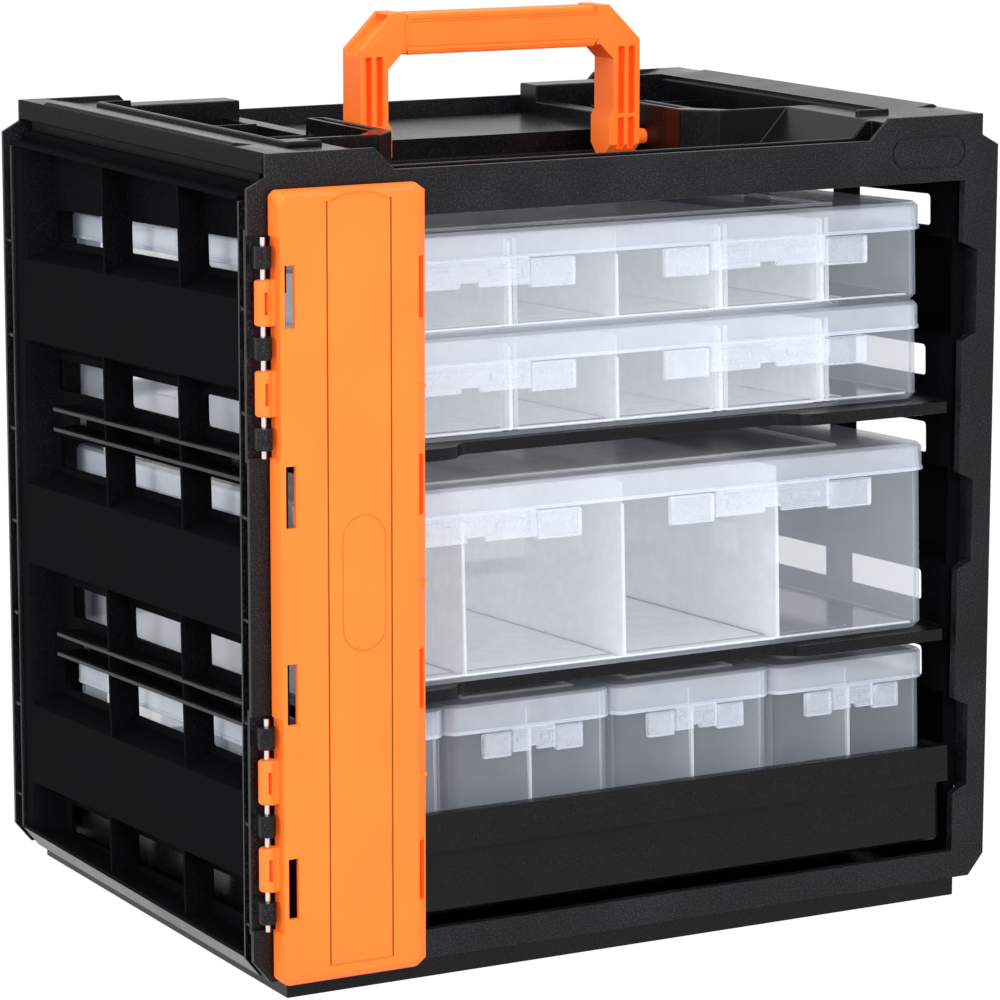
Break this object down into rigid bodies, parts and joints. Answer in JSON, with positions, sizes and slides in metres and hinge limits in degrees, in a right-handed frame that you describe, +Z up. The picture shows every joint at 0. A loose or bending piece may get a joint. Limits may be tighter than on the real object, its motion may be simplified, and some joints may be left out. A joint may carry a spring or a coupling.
{
  "type": "tool organizer",
  "caption": "Portable storage rack with clear lidded organizer boxes on sloping shelves, a bottom drawer of bins, a hinged locking door and a folding carry handle on a tray top.",
  "frame": {"origin": "centre of the case's footprint on the floor, at the underside of the plinth", "axes": "+X to the right seen from the front, +Y to the back, +Z up"},
  "size_m": [0.42, 0.307, 0.4562],
  "materials": {
    "black_plastic": "fine grained moulded polypropylene",
    "orange_plastic": "satin moulded polypropylene",
    "steel_pin": "bright drawn wire",
    "clear_plastic": "frosted natural polypropylene"
  },
  "bodies": {
    "case": {"front_frame": "black_plastic", "back_frame": "black_plastic", "left_side_panel": "black_plastic", "right_side_panel": "black_plastic", "base": "black_plastic", "top_deck": "black_plastic", "lower_shelf": "black_plastic", "upper_shelf": "black_plastic", "hinge_pin_lower": "steel_pin", "hinge_pin_upper": "steel_pin"},
    "door": {"door": "orange_plastic"},
    "handle": {"carry_handle": "orange_plastic"},
    "top_box": {"top_box_base": "clear_plastic", "top_box_lid": "clear_plastic", "top_box_dividers": "clear_plastic"},
    "middle_box": {"middle_box_base": "clear_plastic", "middle_box_lid": "clear_plastic", "middle_box_dividers": "clear_plastic"},
    "deep_box": {"deep_box_base": "clear_plastic", "deep_box_lid": "clear_plastic"},
    "drawer": {"bottom_drawer": "black_plastic", "bin_a_base": "clear_plastic", "bin_a_lid": "clear_plastic", "bin_b_base": "clear_plastic", "bin_b_lid": "clear_plastic", "bin_c_base": "clear_plastic", "bin_c_lid": "clear_plastic", "bin_d_base": "clear_plastic", "bin_d_lid": "clear_plastic"},
    "middle_box_latch_left": {"middle_box_latch_left": "clear_plastic"},
    "middle_box_latch_right": {"middle_box_latch_right": "clear_plastic"},
    "top_box_latch_left": {"top_box_latch_left": "clear_plastic"},
    "top_box_latch_right": {"top_box_latch_right": "clear_plastic"},
    "deep_box_latch_left": {"deep_box_latch_left": "clear_plastic"},
    "deep_box_latch_right": {"deep_box_latch_right": "clear_plastic"},
    "bin_a_latch": {"bin_a_latch": "clear_plastic"},
    "bin_b_latch": {"bin_b_latch": "clear_plastic"},
    "bin_c_latch": {"bin_c_latch": "clear_plastic"},
    "bin_d_latch": {"bin_d_latch": "clear_plastic"}
  },
  "joints": [
    {"name": "door_hinge", "type": "hinge", "parent": "case", "child": "door", "pos_m": [-0.2042, -0.152, 0.2], "axis": [0, 0, -1], "range_deg": [0, 150]},
    {"name": "handle_fold", "type": "hinge", "parent": "case", "child": "handle", "pos_m": [0, 0, 0.3865], "axis": [1, 0, 0], "range_deg": [0, 90]},
    {"name": "top_box_slide", "type": "slide", "parent": "case", "child": "top_box", "axis": [0, -0.999, 0.0436], "range_m": [0, 0.1314]},
    {"name": "middle_box_slide", "type": "slide", "parent": "case", "child": "middle_box", "axis": [0, -0.999, 0.0436], "range_m": [0, 0.1314]},
    {"name": "deep_box_slide", "type": "slide", "parent": "case", "child": "deep_box", "axis": [0, -0.999, 0.0436], "range_m": [0, 0.1314]},
    {"name": "drawer_slide", "type": "slide", "parent": "case", "child": "drawer", "axis": [0, -0.999, 0.0436], "range_m": [0, 0.0476]},
    {"name": "middle_box_latch_left_hinge", "type": "hinge", "parent": "middle_box", "child": "middle_box_latch_left", "pos_m": [-0.0845, -0.13097, 0.29697], "axis": [-1, 0, 0], "range_deg": [0, 75]},
    {"name": "middle_box_latch_right_hinge", "type": "hinge", "parent": "middle_box", "child": "middle_box_latch_right", "pos_m": [0.0845, -0.13097, 0.29697], "axis": [-1, 0, 0], "range_deg": [0, 75]},
    {"name": "top_box_latch_left_hinge", "type": "hinge", "parent": "top_box", "child": "top_box_latch_left", "pos_m": [-0.0845, -0.12977, 0.34767], "axis": [-1, 0, 0], "range_deg": [0, 75]},
    {"name": "top_box_latch_right_hinge", "type": "hinge", "parent": "top_box", "child": "top_box_latch_right", "pos_m": [0.0845, -0.12977, 0.34767], "axis": [-1, 0, 0], "range_deg": [0, 75]},
    {"name": "deep_box_latch_left_hinge", "type": "hinge", "parent": "deep_box", "child": "deep_box_latch_left", "pos_m": [-0.0845, -0.13708, 0.22478], "axis": [-1, 0, 0], "range_deg": [0, 75]},
    {"name": "deep_box_latch_right_hinge", "type": "hinge", "parent": "deep_box", "child": "deep_box_latch_right", "pos_m": [0.0845, -0.13708, 0.22478], "axis": [-1, 0, 0], "range_deg": [0, 75]},
    {"name": "bin_a_latch_hinge", "type": "hinge", "parent": "drawer", "child": "bin_a_latch", "pos_m": [-0.1404, -0.12759, 0.11353], "axis": [-1, 0, 0], "range_deg": [0, 75]},
    {"name": "bin_b_latch_hinge", "type": "hinge", "parent": "drawer", "child": "bin_b_latch", "pos_m": [-0.0468, -0.12759, 0.11353], "axis": [-1, 0, 0], "range_deg": [0, 75]},
    {"name": "bin_c_latch_hinge", "type": "hinge", "parent": "drawer", "child": "bin_c_latch", "pos_m": [0.0468, -0.12759, 0.11353], "axis": [-1, 0, 0], "range_deg": [0, 75]},
    {"name": "bin_d_latch_hinge", "type": "hinge", "parent": "drawer", "child": "bin_d_latch", "pos_m": [0.1404, -0.12759, 0.11353], "axis": [-1, 0, 0], "range_deg": [0, 75]}
  ],
  "couplings": [
    {"joint": "top_box_slide", "follows": "door_hinge", "m_per_rad": 0.05},
    {"joint": "middle_box_slide", "follows": "door_hinge", "m_per_rad": 0.05},
    {"joint": "deep_box_slide", "follows": "door_hinge", "m_per_rad": 0.05},
    {"joint": "drawer_slide", "follows": "door_hinge", "m_per_rad": 0.018}
  ]
}
